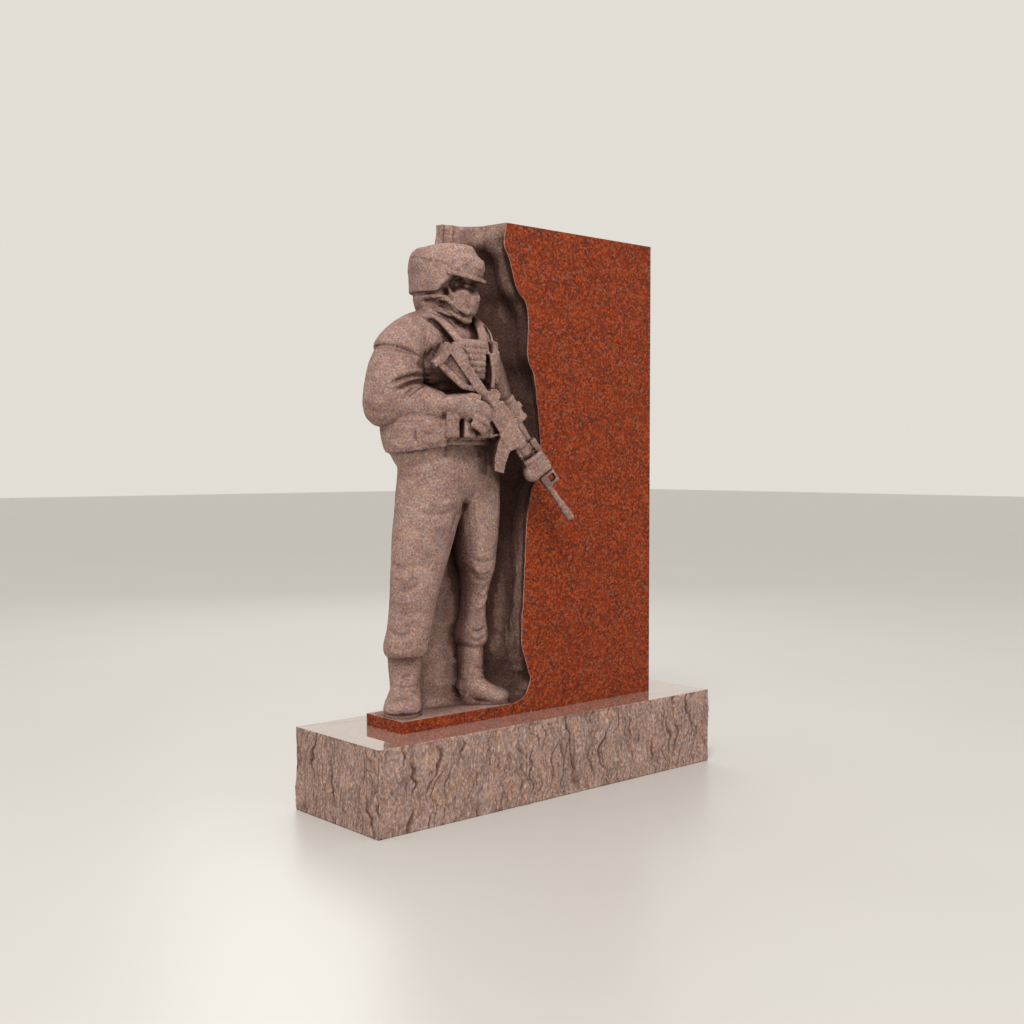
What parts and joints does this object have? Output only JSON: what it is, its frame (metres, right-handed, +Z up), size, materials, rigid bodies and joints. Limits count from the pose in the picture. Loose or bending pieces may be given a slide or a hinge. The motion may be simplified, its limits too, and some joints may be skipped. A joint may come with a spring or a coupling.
{
  "type": "granite headstone with a carved soldier",
  "caption": "Upright granite tablet on a rock-pitched base, its left end carved into a niche with a standing armed soldier.",
  "frame": {"origin": "centre of the base's underside, on the ground", "axes": "+Z up, -Y out of the polished inscription face, +X along the length, away from the soldier"},
  "size_m": [1.2227, 0.3729, 1.5333],
  "materials": {
    "brown_granite": "rock-pitched sides, polished top",
    "red_granite": "polished faces, unpolished carving"
  },
  "bodies": {
    "root": {"base": "brown_granite", "headstone": "red_granite"}
  },
  "joints": []
}
